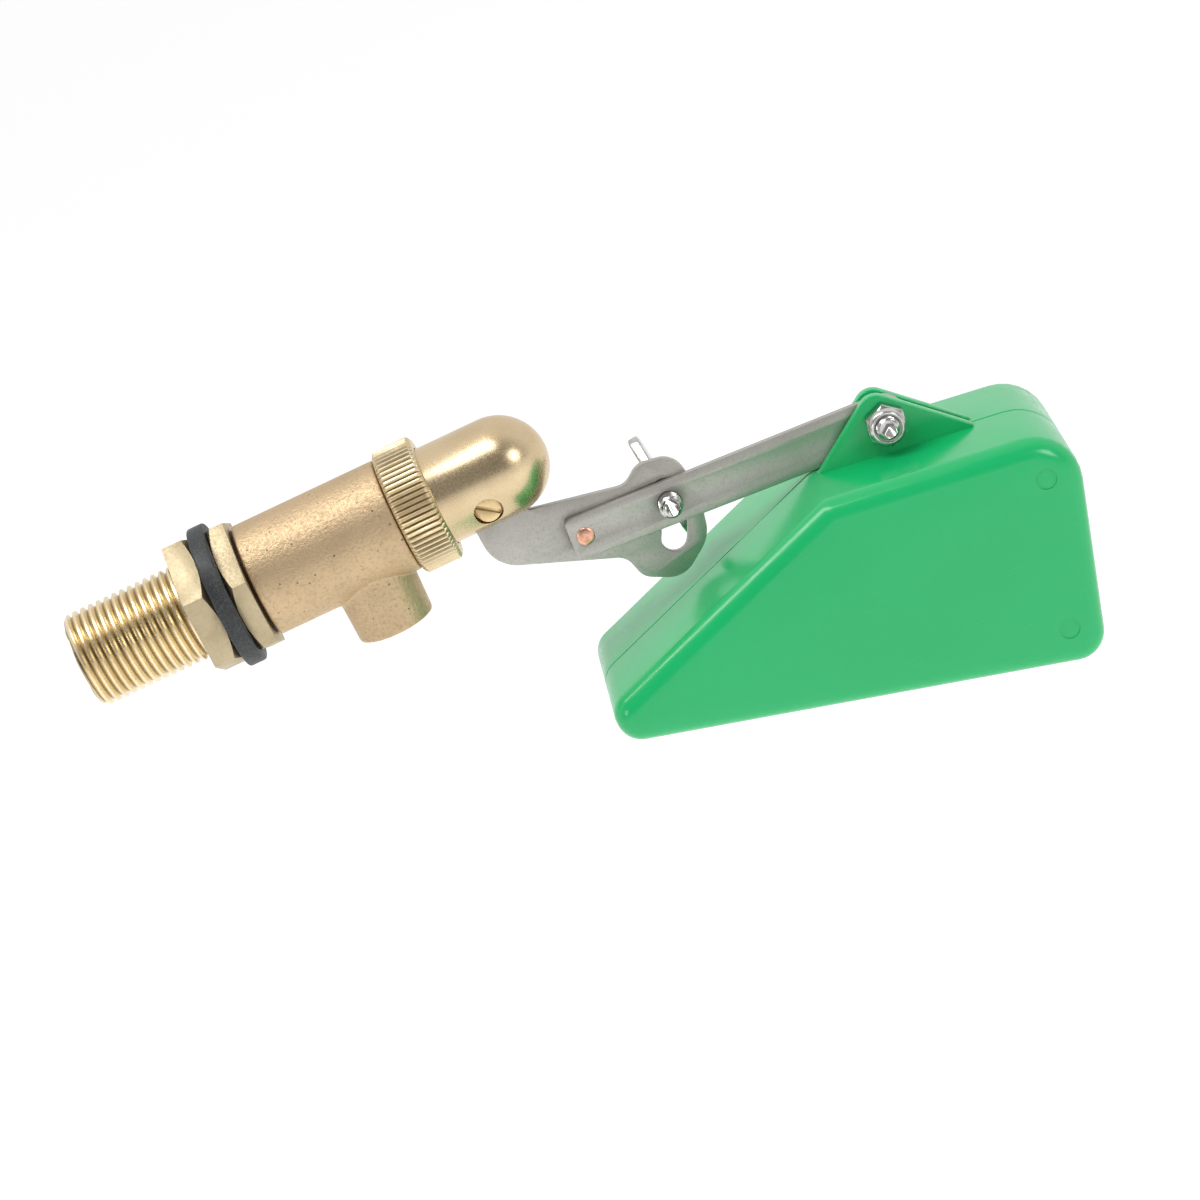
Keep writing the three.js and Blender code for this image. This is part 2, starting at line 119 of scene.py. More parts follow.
def traced(name, points):
    # one vertex drawn out from point to point; edit mode stays on
    if bpy.context.object and bpy.context.object.mode != "OBJECT":
        bpy.ops.object.mode_set(mode="OBJECT")
    bpy.ops.object.select_all(action="DESELECT")
    bpy.ops.mesh.primitive_plane_add(size=mm)
    obj = bpy.context.object
    obj.name = obj.data.name = name
    bpy.ops.object.mode_set(mode="EDIT")
    bpy.ops.mesh.select_mode(type="VERT")
    bpy.ops.mesh.select_all(action="SELECT")
    bpy.ops.mesh.merge(type="CENTER")
    bpy.ops.transform.translate(value=points[0] * mm)
    for before, after in zip(points, points[1:]):
        bpy.ops.mesh.extrude_region_move(TRANSFORM_OT_translate={"value": (after - before) * mm})
    return obj


axes = {"X": (Vector((1, 0, 0)), Vector((0, 0, 1))), "Y": (Vector((0, 1, 0)), Vector((0, 0, 1))),
        "Z": (Vector((0, 0, 1)), Vector((1, 0, 0)))}


def turned(name, profile, steps=96, axis="X", about=(0, 0, 0)):
    # (along, radius) points spun round an axis through a point
    along, out = axes[axis]
    if profile[0][1] or profile[-1][1]:
        profile = profile + profile[:1]
    obj = traced(name, [along * a + out * r for a, r in profile])
    bpy.ops.mesh.select_all(action="SELECT")
    bpy.ops.mesh.spin(steps=steps, angle=2 * math.pi, center=(0, 0, 0), axis=along)
    welded()
    bpy.ops.object.mode_set(mode="OBJECT")
    return moved(obj, *about)


def rod(name, start, end, radius, steps=96, axis="X", about=(0, 0, 0)):
    return turned(name, [(start, 0), (start, radius), (end, radius), (end, 0)], steps, axis, about)


def hexRod(name, start, end, acrossFlats, turn, axis="X"):
    obj = rod(name, start, end, acrossFlats / math.sqrt(3), 6, axis)
    return placed(obj, Matrix.Rotation(math.radians(turn), 4, axis))


def arc(centre, radius, fromDegrees, toDegrees, steps):
    angles = [math.radians(fromDegrees + (toDegrees - fromDegrees) * i / steps) for i in range(steps + 1)]
    return [(centre[0] + radius * math.cos(a), centre[1] + radius * math.sin(a)) for a in angles]


def rounded(corners, steps=10):
    # an outline whose (x, z, radius) corners are rounded by the arc that touches both sides
    outline = []
    for i, (x, z, radius) in enumerate(corners):
        corner = Vector((x, z))
        back = (Vector(corners[i - 1][:2]) - corner).normalized()
        on = (Vector(corners[(i + 1) % len(corners)][:2]) - corner).normalized()
        half = back.angle(on) / 2
        centre = corner + (back + on).normalized() * radius / math.sin(half)
        start = corner + back * radius / math.tan(half) - centre
        sweep = math.copysign(math.pi - 2 * half, on.cross(back))
        for step in range(steps + 1):
            outline.append(tuple(centre + Matrix.Rotation(sweep * step / steps, 2) @ start))
    return outline


def plate(name, outline, fromY, toY):
    obj = traced(name, [Vector((x, fromY, z)) for x, z in outline])
    bpy.ops.mesh.select_all(action="SELECT")
    bpy.ops.mesh.edge_face_add()
    bpy.ops.mesh.extrude_region_move(TRANSFORM_OT_translate={"value": (0, (toY - fromY) * mm, 0)})
    welded()
    bpy.ops.object.mode_set(mode="OBJECT")
    return obj


def joined(name, *parts):
    activate(parts[0])
    for part in parts[1:]:
        part.select_set(True)
    bpy.ops.object.join()
    parts[0].name = parts[0].data.name = name
    return parts[0]


# points over one pitch, how much the wave is raised to flatten its crests, extra turns before the
# start and in all, and the smallest core as a share of the radius
threadShape = {"points": 8, "crest": 1.25, "before": 2, "extra": 3, "core": 0.3}


def threadedRod(name, spec, steps, axis="X"):
    # one pitch of the outline wound along the axis, chamfered at its start and cut square at both ends
    pitch, depth, radius = spec["pitch"], spec["depth"], spec["radius"]
    start, end = spec["start"], spec["end"]
    points = threadShape["points"]
    first = start - threadShape["before"] * pitch
    outline = []
    for i in range(points + 1):
        ridge = min(1, threadShape["crest"] * (0.5 - 0.5 * math.cos(2 * math.pi * i / points)))
        outline.append(Vector((first + pitch * i / points, 0, radius - depth * (1 - ridge))))
    obj = traced(name, outline)
    bpy.ops.object.mode_set(mode="OBJECT")
    turns = math.ceil((end - start) / pitch) + threadShape["extra"]
    modified(obj, "SCREW", axis="X", angle=2 * math.pi, screw_offset=pitch * mm, iterations=turns,
             steps=steps, render_steps=steps)
    for vertex in obj.data.vertices:
        x, y, z = vertex.co / mm
        reach = math.hypot(y, z)
        # the chamfer's cone at the start, and a narrowing past the end that the cut takes away
        cone = radius - spec["chamfer"] + (x - start)
        past = radius + pitch + (end - x)
        limit = max(min(reach, cone, past), radius * threadShape["core"])
        vertex.co = Vector((x, y * limit / reach, z * limit / reach)) * mm
    bpy.ops.object.mode_set(mode="EDIT")
    welded()
    for x, side in ((start, -1), (end, 1)):
        bpy.ops.mesh.select_all(action="SELECT")
        bpy.ops.mesh.bisect(plane_co=(x * mm, 0, 0), plane_no=(side, 0, 0), use_fill=True, clear_outer=True)
    welded()
    bpy.ops.object.mode_set(mode="OBJECT")
    if axis == "Y":
        placed(obj, Matrix.Rotation(math.pi / 2, 4, "Z"))
    return obj


# materials: sums on sockets are written as plain Python, and every node comes from one method

class Wire:
    def __init__(self, finish, socket):
        self.finish = finish
        self.socket = socket

    def maths(self, operation, first, second):
        return self.finish.maths(operation, first, second)

    def __add__(self, other):
        return self.maths("ADD", self, other)

    def __sub__(self, other):
        return self.maths("SUBTRACT", self, other)

    def __rsub__(self, other):
        return self.maths("SUBTRACT", other, self)

    def __mul__(self, other):
        return self.maths("MULTIPLY", self, other)

    def __lt__(self, other):
        return self.maths("LESS_THAN", self, other)

    def __gt__(self, other):
        return self.maths("GREATER_THAN", self, other)

    __radd__ = __add__
    __rmul__ = __mul__


class Finish:
    # a material by default, and the room's light when it is given the list of worlds
    def __init__(self, name, kept=bpy.data.materials, shader="Principled BSDF", place="Object"):
        self.made = kept.new(name)
        self.made.use_nodes = True
        self.tree = self.made.node_tree
        self.shader = self.tree.nodes[shader]
        self.place = self.node("ShaderNodeTexCoord", out=place)

    def node(self, kind, settings=None, sockets=None, out=0):
        made = self.tree.nodes.new(kind)
        for setting, value in (settings or {}).items():
            setattr(made, setting, value)
        for socket, value in (sockets or {}).items():
            self.feed(made.inputs[socket], value)
        return Wire(self, made.outputs[out])

    def feed(self, socket, value):
        if isinstance(value, Wire):
            self.tree.links.new(value.socket, socket)
        else:
            socket.default_value = value

    def set(self, **values):
        # shader sockets by name, with underscores for blanks
        for name, value in values.items():
            self.feed(self.shader.inputs[name.replace("_", " ")], value)

    def maths(self, operation, first, second=0.0):
        return self.node("ShaderNodeMath", {"operation": operation}, {0: first, 1: second})

    def noise(self, scale, detail=3, roughness=0.55, vector=None):
        sockets = {"Vector": vector or self.place, "Scale": scale, "Detail": detail, "Roughness": roughness}
        return self.node("ShaderNodeTexNoise", None, sockets, "Fac")

    def stretched(self, x, y, z):
        return self.node("ShaderNodeMapping", None, {"Vector": self.place, "Scale": (x, y, z)})

    def stepped(self, value, low, high, bottom=0.0, top=1.0):
        sockets = {"Value": value, "From Min": low, "From Max": high, "To Min": bottom, "To Max": top}
        return self.node("ShaderNodeMapRange", {"interpolation_type": "SMOOTHSTEP"}, sockets)

    def mixed(self, factor, first, second):
        # inputs 6 and 7 and output 2 are the node's colours
        return self.node("ShaderNodeMix", {"data_type": "RGBA"}, {0: factor, 6: first, 7: second}, 2)

    def bumped(self, height, distance, strength=1.0, normal=None):
        sockets = {"Height": height, "Distance": distance * mm, "Strength": strength}
        if normal:
            sockets["Normal"] = normal
        return self.node("ShaderNodeBump", None, sockets)

    def axisSplit(self):
        parts = self.node("ShaderNodeSeparateXYZ", None, {"Vector": self.place})
        return [Wire(self, parts.socket.node.outputs[i]) for i in range(3)]


def rgb(red, green, blue):
    return (red, green, blue, 1)


def makeCastBrass():
    # sand-cast skin: fine blasted grain, a few dark pits, and painted shadow on the neck in the groove
    # behind the flange
    look = {"light": rgb(0.605, 0.455, 0.28), "dark": rgb(0.44, 0.325, 0.20),
            "pit": rgb(0.10, 0.062, 0.034), "pitSize": 0.07, "pitSpread": 0.06,
            "neck": rgb(0.018, 0.012, 0.008), "neckShadeStart": 4.15 * mm, "neckShadeEnd": 4.85 * mm,
            "rough": (0.45, 0.62)}
    finish = Finish("cast_brass")
    cloud = finish.noise(110, 3)
    grain = finish.noise(1500, 2, 0.7)
    fine = finish.noise(4200, 1)
    cell = finish.node("ShaderNodeTexVoronoi", None, {"Vector": finish.place, "Scale": 420}, "Distance")
    chosen = finish.noise(300, 1) > 0.5
    pits = (cell < look["pitSize"] + finish.noise(700, 1) * look["pitSpread"]) * chosen
    along = finish.axisSplit()[0]
    # the neck colour is painted shadow, near black, in the undercut groove between the flange and the
    # barrel
    neck = (along > look["neckShadeStart"]) * (along < look["neckShadeEnd"])
    color = finish.mixed(finish.stepped(cloud, 0.25, 0.75, 0, 0.35), look["light"], look["dark"])
    color = finish.mixed(finish.stepped(grain, 0.5, 0.72, 0, 0.55), color, look["dark"])
    color = finish.mixed(pits * 0.7, color, look["pit"])
    color = finish.mixed(neck * 0.97, color, look["neck"])
    finish.set(Base_Color=color, Metallic=1.0, Roughness=finish.stepped(grain, 0.3, 0.75, *look["rough"]))
    coarse = finish.bumped(grain + cloud * 0.3, 0.16, 0.9)
    finish.set(Normal=finish.bumped(fine * 0.7 - pits * 2.2, 0.06, 0.8, coarse))
    return finish.made


# the first colour is painted shade for the thread roots and the knurl grooves
turnedLook = {"grooveShade": rgb(0.10, 0.065, 0.028), "roughSpread": 0.14, "markStretch": 35}


def makeTurnedBrass(name, light, dark, roughness, lineScale, groove=None):
    # lineScale is how fine the tool marks are along the axis; groove says where painted shade darkens the
    # grooves
    across = turnedLook["markStretch"]
    finish = Finish(name)
    marks = finish.noise(1, 2, 0.6, finish.stretched(lineScale, across, across))
    stain = finish.noise(120, 3)
    speck = finish.noise(1700, 2, 0.65)
    color = finish.mixed(finish.stepped(stain, 0.3, 0.75, 0, 0.6), light, dark)
    color = finish.mixed(finish.stepped(speck, 0.52, 0.75, 0, 0.4), color, dark)
    # painted shade: the grooves are darkened where the groove mask says
    if groove:
        color = finish.mixed(groove(finish), color, turnedLook["grooveShade"])
    finish.set(Base_Color=color, Metallic=1.0)
    roughest = roughness + turnedLook["roughSpread"]
    finish.set(Roughness=finish.stepped(stain * 0.4 + speck * 0.6, 0.35, 0.7, roughness, roughest))
    finish.set(Normal=finish.bumped(marks + speck * 0.5, 0.025, 0.5))
    return finish.made


def makeSatinBrass():
    look = {"light": rgb(0.69, 0.54, 0.34), "dark": rgb(0.54, 0.41, 0.245), "rough": (0.24, 0.35)}
    finish = Finish("satin_brass")
    marks = finish.noise(1, 3, 0.6, finish.stretched(2600, 60, 60))
    cloud = finish.noise(110, 3)
    grain = finish.noise(2900, 2, 0.65)
    color = finish.mixed(finish.stepped(cloud, 0.3, 0.75, 0, 0.5), look["light"], look["dark"])
    color = finish.mixed(finish.stepped(grain, 0.55, 0.8, 0, 0.35), color, look["dark"])
    finish.set(Base_Color=color, Metallic=1.0, Roughness=finish.stepped(grain, 0.3, 0.75, *look["rough"]))
    finish.set(Normal=finish.bumped(marks * 0.4 + grain, 0.014, 0.55))
    return finish.made


def makeSheetStainless():
    look = {"light": rgb(0.51, 0.49, 0.455), "dark": rgb(0.39, 0.375, 0.345),
            "scratch": rgb(0.60, 0.59, 0.56), "rough": (0.44, 0.58)}
    finish = Finish("sheet_stainless")
    cloud = finish.noise(160, 3)
    grain = finish.noise(2300, 2, 0.7)
    dents = finish.noise(800, 2)
    scratches = finish.noise(1, 1, 0.5, finish.stretched(260, 260, 5200)) > 0.69
    color = finish.mixed(finish.stepped(cloud, 0.3, 0.75, 0, 0.3), look["light"], look["dark"])
    color = finish.mixed(finish.stepped(grain, 0.5, 0.75, 0, 0.6), color, look["dark"])
    color = finish.mixed(scratches * 0.3, color, look["scratch"])
    finish.set(Base_Color=color, Metallic=1.0, Roughness=finish.stepped(grain, 0.3, 0.75, *look["rough"]))
    finish.set(Normal=finish.bumped(grain + dents * 0.5 - scratches * 0.3, 0.03, 0.6))
    return finish.made


def makeBrightStainless():
    look = {"light": rgb(0.62, 0.61, 0.59), "dark": rgb(0.44, 0.43, 0.41), "rough": (0.16, 0.28)}
    finish = Finish("bright_stainless")
    cloud = finish.noise(420, 3)
    grain = finish.noise(3800, 2)
    color = finish.mixed(finish.stepped(cloud, 0.35, 0.7), look["light"], look["dark"])
    finish.set(Base_Color=color, Metallic=1.0, Roughness=finish.stepped(cloud, 0.3, 0.75, *look["rough"]))
    finish.set(Normal=finish.bumped(grain, 0.01, 0.4))
    return finish.made


def makeCopper():
    look = {"light": rgb(0.88, 0.50, 0.36), "dark": rgb(0.62, 0.30, 0.20), "rough": (0.26, 0.42)}
    finish = Finish("bright_copper")
    cloud = finish.noise(700, 3)
    grain = finish.noise(3000, 2)
    color = finish.mixed(finish.stepped(cloud, 0.35, 0.75), look["light"], look["dark"])
    finish.set(Base_Color=color, Metallic=1.0, Roughness=finish.stepped(cloud, 0.3, 0.7, *look["rough"]))
    finish.set(Normal=finish.bumped(grain + cloud, 0.03, 0.5))
    return finish.made


def makeRubber():
    look = {"black": rgb(0.018, 0.019, 0.020), "dust": rgb(0.075, 0.078, 0.082), "rough": (0.42, 0.62)}
    finish = Finish("black_rubber")
    cloud = finish.noise(240, 4)
    grain = finish.noise(2400, 2, 0.7)
    dusty = finish.stepped(grain + cloud * 0.6, 0.72, 1.05, 0, 0.7)
    color = finish.mixed(dusty, look["black"], look["dust"])
    finish.set(Base_Color=color, Roughness=finish.stepped(cloud, 0.3, 0.7, *look["rough"]))
    finish.set(Normal=finish.bumped(grain + cloud * 0.6, 0.035, 0.6))
    return finish.made


def makeGreenPlastic():
    look = {"main": rgb(0.006, 0.455, 0.138), "deep": rgb(0.005, 0.42, 0.122),
            "scuff": rgb(0.06, 0.55, 0.22), "seam": rgb(0.003, 0.075, 0.028),
            "seamShadeAt": -2.3 * mm, "seamShadeHalf": 0.2 * mm, "rough": (0.17, 0.26), "depth": (0.4, 1.0, 0.5)}
    finish = Finish("green_plastic")
    cloud = finish.noise(22, 2)
    ripple = finish.noise(150, 2)
    grain = finish.noise(2600, 2)
    scuffs = finish.noise(1, 1, 0.5, finish.stretched(120, 400, 2600)) > 0.74
    color = finish.mixed(finish.stepped(cloud, 0.3, 0.7, 0, 0.6), look["main"], look["deep"])
    color = finish.mixed(scuffs * 0.12, color, look["scuff"])
    # painted shade in the groove where the two halves meet, as a near-black band across the seam
    across = finish.axisSplit()[1]
    seam = (across > look["seamShadeAt"] - look["seamShadeHalf"]) * (across < look["seamShadeAt"] + look["seamShadeHalf"])
    color = finish.mixed(seam * 0.85, color, look["seam"])
    finish.set(Base_Color=color, Roughness=finish.stepped(ripple + grain * 0.4, 0.4, 0.95, *look["rough"]))
    finish.set(Normal=finish.bumped(ripple + grain * 0.10, 0.035, 0.3), Subsurface_Weight=0.1, IOR=1.52)
    finish.set(Subsurface_Radius=look["depth"], Subsurface_Scale=2 * mm)
    return finish.made


def makeNylon():
    look = {"light": rgb(0.80, 0.80, 0.76), "dark": rgb(0.66, 0.66, 0.61), "rough": (0.38, 0.5)}
    finish = Finish("white_nylon")
    cloud = finish.noise(500, 3)
    color = finish.mixed(finish.stepped(cloud, 0.35, 0.7), look["light"], look["dark"])
    finish.set(Base_Color=color, Roughness=finish.stepped(cloud, 0.3, 0.7, *look["rough"]))
    finish.set(Normal=finish.bumped(finish.noise(2500, 2) + cloud, 0.02, 0.5))
    return finish.made


castBrass = makeCastBrass()
nutBrass = makeTurnedBrass("nut_brass", rgb(0.52, 0.435, 0.285), rgb(0.41, 0.335, 0.21), 0.47, 1800)
innerBrass = makeTurnedBrass("inner_brass", rgb(0.80, 0.62, 0.34), rgb(0.66, 0.48, 0.25), 0.24, 3400)
satinBrass = makeSatinBrass()
sheetStainless = makeSheetStainless()
brightStainless = makeBrightStainless()
brightCopper = makeCopper()
blackRubber = makeRubber()
greenPlastic = makeGreenPlastic()
whiteNylon = makeNylon()
print("materials made")


def painted(obj, material):
    obj.data.materials.clear()
    obj.data.materials.append(material)
    return obj


def finished(obj, name, material, body, slot, *nodes):
    # names a piece, gives it its finish unless its parts have theirs, and hands it to its body
    obj.name = obj.data.name = name
    if material:
        painted(obj, material)
    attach(obj, body)
    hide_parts(*nodes)


# valve body: threaded inlet, hex flange and cast barrel with its spout

valveBody = {
    "radius": 10.48, "pitch": 1.814, "depth": 1.0, "start": -35.4, "end": 1.0, "chamfer": 1.0,
    "bore": 7.5, "boreEnd": 6.6, "flats": 27.2, "flangeEnd": 4.2, "flangeTurn": 13, "hexChamfer": 1.2,
    "barrel": 12.45, "barrelEnd": 37.5, "nipple": 11.4, "nippleEnd": 42.8, "web": 12.6, "webHole": 5.3,
    "chamber": 9.5, "spoutX": 27.2, "spoutRoot": 8.95, "spoutTip": 8.4, "spoutBore": 6.2, "spoutEnd": -21.5,
    "voxel": 0.3, "softening": 9, "undercut": 0.8, "undercutWidth": 0.65, "spoutTop": -4,
    # the last three keys on the next line set the painted shade in the roots of the inlet thread
    "hexSlope": 1.7, "edge": 0.22, "shadeRoot": 9.45, "shadeCrest": 9.85, "grooveShade": 0.6,
}


def threadRootShade(finish):
    # painted shade, darker towards the root of the inlet thread
    x, y, z = finish.axisSplit()
    radius = finish.maths("SQRT", y * y + z * z)
    return finish.stepped(radius, valveBody["shadeRoot"] * mm, valveBody["shadeCrest"] * mm,
                          valveBody["grooveShade"], 0)


threadBrass = makeTurnedBrass("thread_brass", rgb(0.88, 0.74, 0.49), rgb(0.72, 0.58, 0.36), 0.24, 5200,
                              threadRootShade)


def chamferedHex(name, spec, washerFace, otherFace, turn):
    # the corners are chamfered on the face that lies against the washer
    corner = spec["flats"] / math.sqrt(3)
    clear = corner + 0.05
    chamferEnd = washerFace + math.copysign(spec["hexChamfer"], otherFace - washerFace)
    obj = hexRod(name, washerFace, otherFace, spec["flats"], turn)
    envelope = turned("envelope", [
        (washerFace, 0), (washerFace, corner - spec["hexSlope"] * spec["hexChamfer"]), (chamferEnd, clear),
        (otherFace, clear), (otherFace, 0),
    ], 120)
    return carved(obj, envelope, operation="INTERSECT")


def makeValveBody():
    spec = valveBody
    inlet = threadedRod("inlet_thread", spec, 80)
    carved(inlet, rod("inletBore", spec["start"] - 1, spec["end"] + 1, spec["bore"]))
    painted(smoothed(inlet, 50), threadBrass)
    flange = chamferedHex("flange", spec, 0, spec["flangeEnd"], spec["flangeTurn"])
    carved(flange, rod("flangeBore", -1, spec["flangeEnd"] + 1, spec["bore"]))
    painted(smoothed(bevelled(flange, spec["edge"])), nutBrass)

    start = spec["flangeEnd"] + spec["undercutWidth"]
    barrel = turned("barrel", [
        (start, 0), (start, spec["barrel"]), (spec["barrelEnd"], spec["barrel"]),
        (spec["barrelEnd"], spec["nipple"]), (spec["nippleEnd"], spec["nipple"]), (spec["nippleEnd"], 0),
    ])
    spout = turned("spout", [(spec["spoutEnd"], 0), (spec["spoutEnd"], spec["spoutTip"]),
                             (spec["spoutTop"], spec["spoutRoot"]), (spec["spoutTop"], 0)],
                   96, "Z", (spec["spoutX"], 0, 0))
    carved(barrel, spout, operation="UNION")
    modified(barrel, "REMESH", mode="VOXEL", voxel_size=spec["voxel"] * mm)
    modified(barrel, "SMOOTH", factor=0.5, iterations=spec["softening"])
    carved(
        barrel,
        rod("webBore", 0, spec["boreEnd"], spec["bore"]),
        rod("webHole", spec["boreEnd"] - 1, spec["web"] + 1, spec["webHole"]),
        rod("chamber", spec["web"], spec["nippleEnd"] + 1, spec["chamber"]),
        rod("outlet", spec["spoutEnd"] - 1, 0, spec["spoutBore"], 96, "Z", (spec["spoutX"], 0, 0)),
    )
    painted(smoothed(barrel, 50), castBrass)
    neck = rod("neck", spec["flangeEnd"] - 0.3, start + 0.3, spec["barrel"] - spec["undercut"])
    carved(neck, rod("neckBore", 0, start + 1, spec["bore"]))
    painted(smoothed(neck), castBrass)
    body = joined("valve_body", barrel, neck, flange, inlet)
    finished(body, "valve_body", None, "body", "cast_brass", "body_casting")


makeValveBody()
print("valve body made")


# inner pieces behind the openings: nozzle, seals, piston

nozzleSpec = {"profile": [(6.9, 3), (6.9, 5), (8.6, 5), (8.6, 4.2), (10.4, 4.2), (10.4, 5), (12.9, 5),
                          (12.9, 6.8), (14.4, 6.8), (15.4, 4.5), (15.8, 4.1), (15.8, 3)], "edge": 0.2}
ringSpec = {"centre": (9.5, 4.8), "radius": 0.52}
gasketSpec = {"profile": [(43.1, 9.5), (43.1, 11.3), (43.9, 11.3), (43.9, 9.5)], "edge": 0.15}
pistonSpec = {"profile": [(21.6, 0), (21.6, 7.2), (19.5, 7.2), (19.5, 8), (26.6, 8), (26.6, 5), (49.7, 5),
                          (49.7, 0)], "edge": 0.35}
discSpec = {"start": 18.2, "end": 21.3, "radius": 6.9, "edge": 0.3}


def makeInnerPieces():
    nozzle = bevelled(turned("nozzle", nozzleSpec["profile"], 64), nozzleSpec["edge"])
    finished(smoothed(nozzle), "nozzle_insert", whiteNylon, "body", "white_nylon", "seat_nozzle")
    ring = turned("ring", arc(ringSpec["centre"], ringSpec["radius"], 0, 337.5, 15), 64)
    finished(smoothed(ring, 60), "nozzle_o_ring", blackRubber, "body", "black_rubber", "seat_o_ring")
    gasket = bevelled(turned("gasket", gasketSpec["profile"], 64), gasketSpec["edge"])
    finished(smoothed(gasket), "bonnet_gasket", blackRubber, "body", "black_rubber", "bonnet_seal")
    piston = bevelled(turned("piston", pistonSpec["profile"], 64), pistonSpec["edge"])
    finished(smoothed(piston), "piston_body", innerBrass, "piston", "turned_brass", "piston")
    disc = rod("disc", discSpec["start"], discSpec["end"], discSpec["radius"], 64)
    bevelled(disc, discSpec["edge"])
    finished(smoothed(disc), "piston_disc", blackRubber, "piston", "black_rubber", "piston_seal")


makeInnerPieces()
print("inner pieces made")


# washer and locknut on the inlet thread

clampNut = {"flats": 27.2, "hexChamfer": 1.2, "hexSlope": 1.7, "turn": 9.4, "start": -9.8, "end": -4.2,
            "bore": 10.6, "flare": 1.7, "flareDepth": 0.7, "edge": 0.22}
washerSpec = {"start": -4.0, "end": -0.15, "radius": 15.8, "bore": 10.8, "edge": 0.55}


def makeClampNut():
    spec = clampNut
    start, end, bore, depth = spec["start"], spec["end"], spec["bore"], spec["flareDepth"]
    wide = bore + spec["flare"]
    nut = chamferedHex("nut", spec, end, start, spec["turn"])
    mouth = turned("mouth", [
        (start - 1, 0), (start - 1, wide), (start + depth, bore), (end - depth, bore), (end + 1, wide),
        (end + 1, 0),
    ])
    carved(nut, mouth)
    bevelled(nut, spec["edge"])
    finished(smoothed(nut), "tank_locknut", nutBrass, "locknut", "turned_brass", "locknut")


def makeWasher():
    spec = washerSpec
    start, end, radius, bore = spec["start"], spec["end"], spec["radius"], spec["bore"]
    washer = turned("washer", [(start, bore), (start, radius), (end, radius), (end, bore)], 128)
    bevelled(washer, spec["edge"], 4)
    finished(smoothed(washer, 50), "rubber_washer", blackRubber, "body", "black_rubber", "tank_washer")


makeClampNut()
makeWasher()
print("locknut and washer made")


# knurled union nut

unionNut = {"start": 37.8, "end": 46.7, "radius": 13.9, "ridges": 68, "depth": 0.5, "chamfer": 0.75,
            "thread": 11.75, "lip": 45.5, "lipBore": 11.05, "stepsPerRidge": 6, "knurlReach": 0.6,
            # these two keys set where and how strongly painted shade darkens the knurl grooves
            "shadeFrom": 13.1, "grooveShade": 0.7}


def knurlGrooveShade(finish):
    # painted shade, darker in the grooves between the ridges, only near the rim
    x, y, z = finish.axisSplit()
    radius = finish.maths("SQRT", y * y + z * z)
    wave = finish.maths("COSINE", finish.maths("ARCTAN2", z, y) * float(unionNut["ridges"]))
    return finish.stepped(wave, 0.6, 1, 0, unionNut["grooveShade"]) * (radius > unionNut["shadeFrom"] * mm)


knurlBrass = makeTurnedBrass("knurl_brass", rgb(0.75, 0.61, 0.385), rgb(0.60, 0.475, 0.28), 0.32, 2600,
                             knurlGrooveShade)


def makeUnionNut():
    spec = unionNut
    start, end, radius, chamfer = spec["start"], spec["end"], spec["radius"], spec["chamfer"]
    # (in from the end, in from the rim) along one rounded chamfer, from the face to the rim
    corner = [(0, chamfer + 0.3), (0.15, chamfer), (chamfer - 0.1, 0.12), (chamfer + 0.1, 0)]
    nut = turned("nut", [(start, spec["thread"])]
                 + [(start + along, radius - down) for along, down in corner]
                 + [(end - along, radius - down) for along, down in reversed(corner)]
                 + [(end, spec["lipBore"]), (spec["lip"], spec["lipBore"]), (spec["lip"], spec["thread"])],
                 spec["ridges"] * spec["stepsPerRidge"])
    for vertex in nut.data.vertices:
        x, y, z = vertex.co
        reach = math.hypot(y, z)
        if reach > (radius - chamfer * spec["knurlReach"]) * mm:
            groove = (0.5 + 0.5 * math.cos(spec["ridges"] * math.atan2(z, y))) ** 2
            scale = 1 - spec["depth"] * mm * groove / reach
            vertex.co = (x, y * scale, z * scale)
    finished(smoothed(nut, 28), "knurled_nut", knurlBrass, "union_nut", "turned_brass", "union_nut")


makeUnionNut()
print("union nut made")


# bonnet with its domed end, lever slot and pivot pin

bonnetSpec = {
    "spigotStart": 34.6, "spigot": 9.2, "flangeStart": 44.2, "flangeEnd": 45.2, "flange": 11.3,
    "radius": 10.75, "sphereX": 61.1, "bore": 5.3, "boreEnd": 50.6, "pinHole": 2.05,
    "pinHoleSides": (-6, 7.4), "recess": 3.15, "recessFloor": -4.9, "slotHalf": 1.3, "edge": 0.12,
    "slot": [(47, 6.3), (47, -5), (49.6, -6.5), (49.6, -14), (70.6, -14), (70.6, -5.3), (62.2, -5.3),
             (62.2, 6.3)],
}
pinSpec = {"head": 2.72, "headStart": -6.9, "headEnd": -5.2, "shank": 1.75, "end": 7, "slotHalf": 0.42,
           "slotFloor": -6.05, "slotTurn": 35, "edge": 0.18}


def makeBonnet():
    spec = bonnetSpec
    start, flangeStart, flangeEnd = spec["spigotStart"], spec["flangeStart"], spec["flangeEnd"]
    dome = arc((spec["sphereX"], 0), spec["radius"], 90, 0, 28)
    bonnet = turned("bonnet", [
        (start, 0), (start, spec["spigot"]), (flangeStart, spec["spigot"]), (flangeStart, spec["flange"]),
        (flangeEnd, spec["flange"]), (flangeEnd, spec["radius"]),
    ] + dome, 128)
    carved(
        bonnet,
        rod("stemBore", start - 1, spec["boreEnd"], spec["bore"]),
        plate("leverSlot", spec["slot"], -spec["slotHalf"], spec["slotHalf"]),
        rod("pinHole", *spec["pinHoleSides"], spec["pinHole"], 48, "Y", pivotAt),
        rod("recess", -12, spec["recessFloor"], spec["recess"], 64, "Y", pivotAt),
    )
    bevelled(bonnet, spec["edge"], 2, 40)
    finished(smoothed(bonnet, 40), "domed_bonnet", satinBrass, "bonnet", "satin_brass", "bonnet")


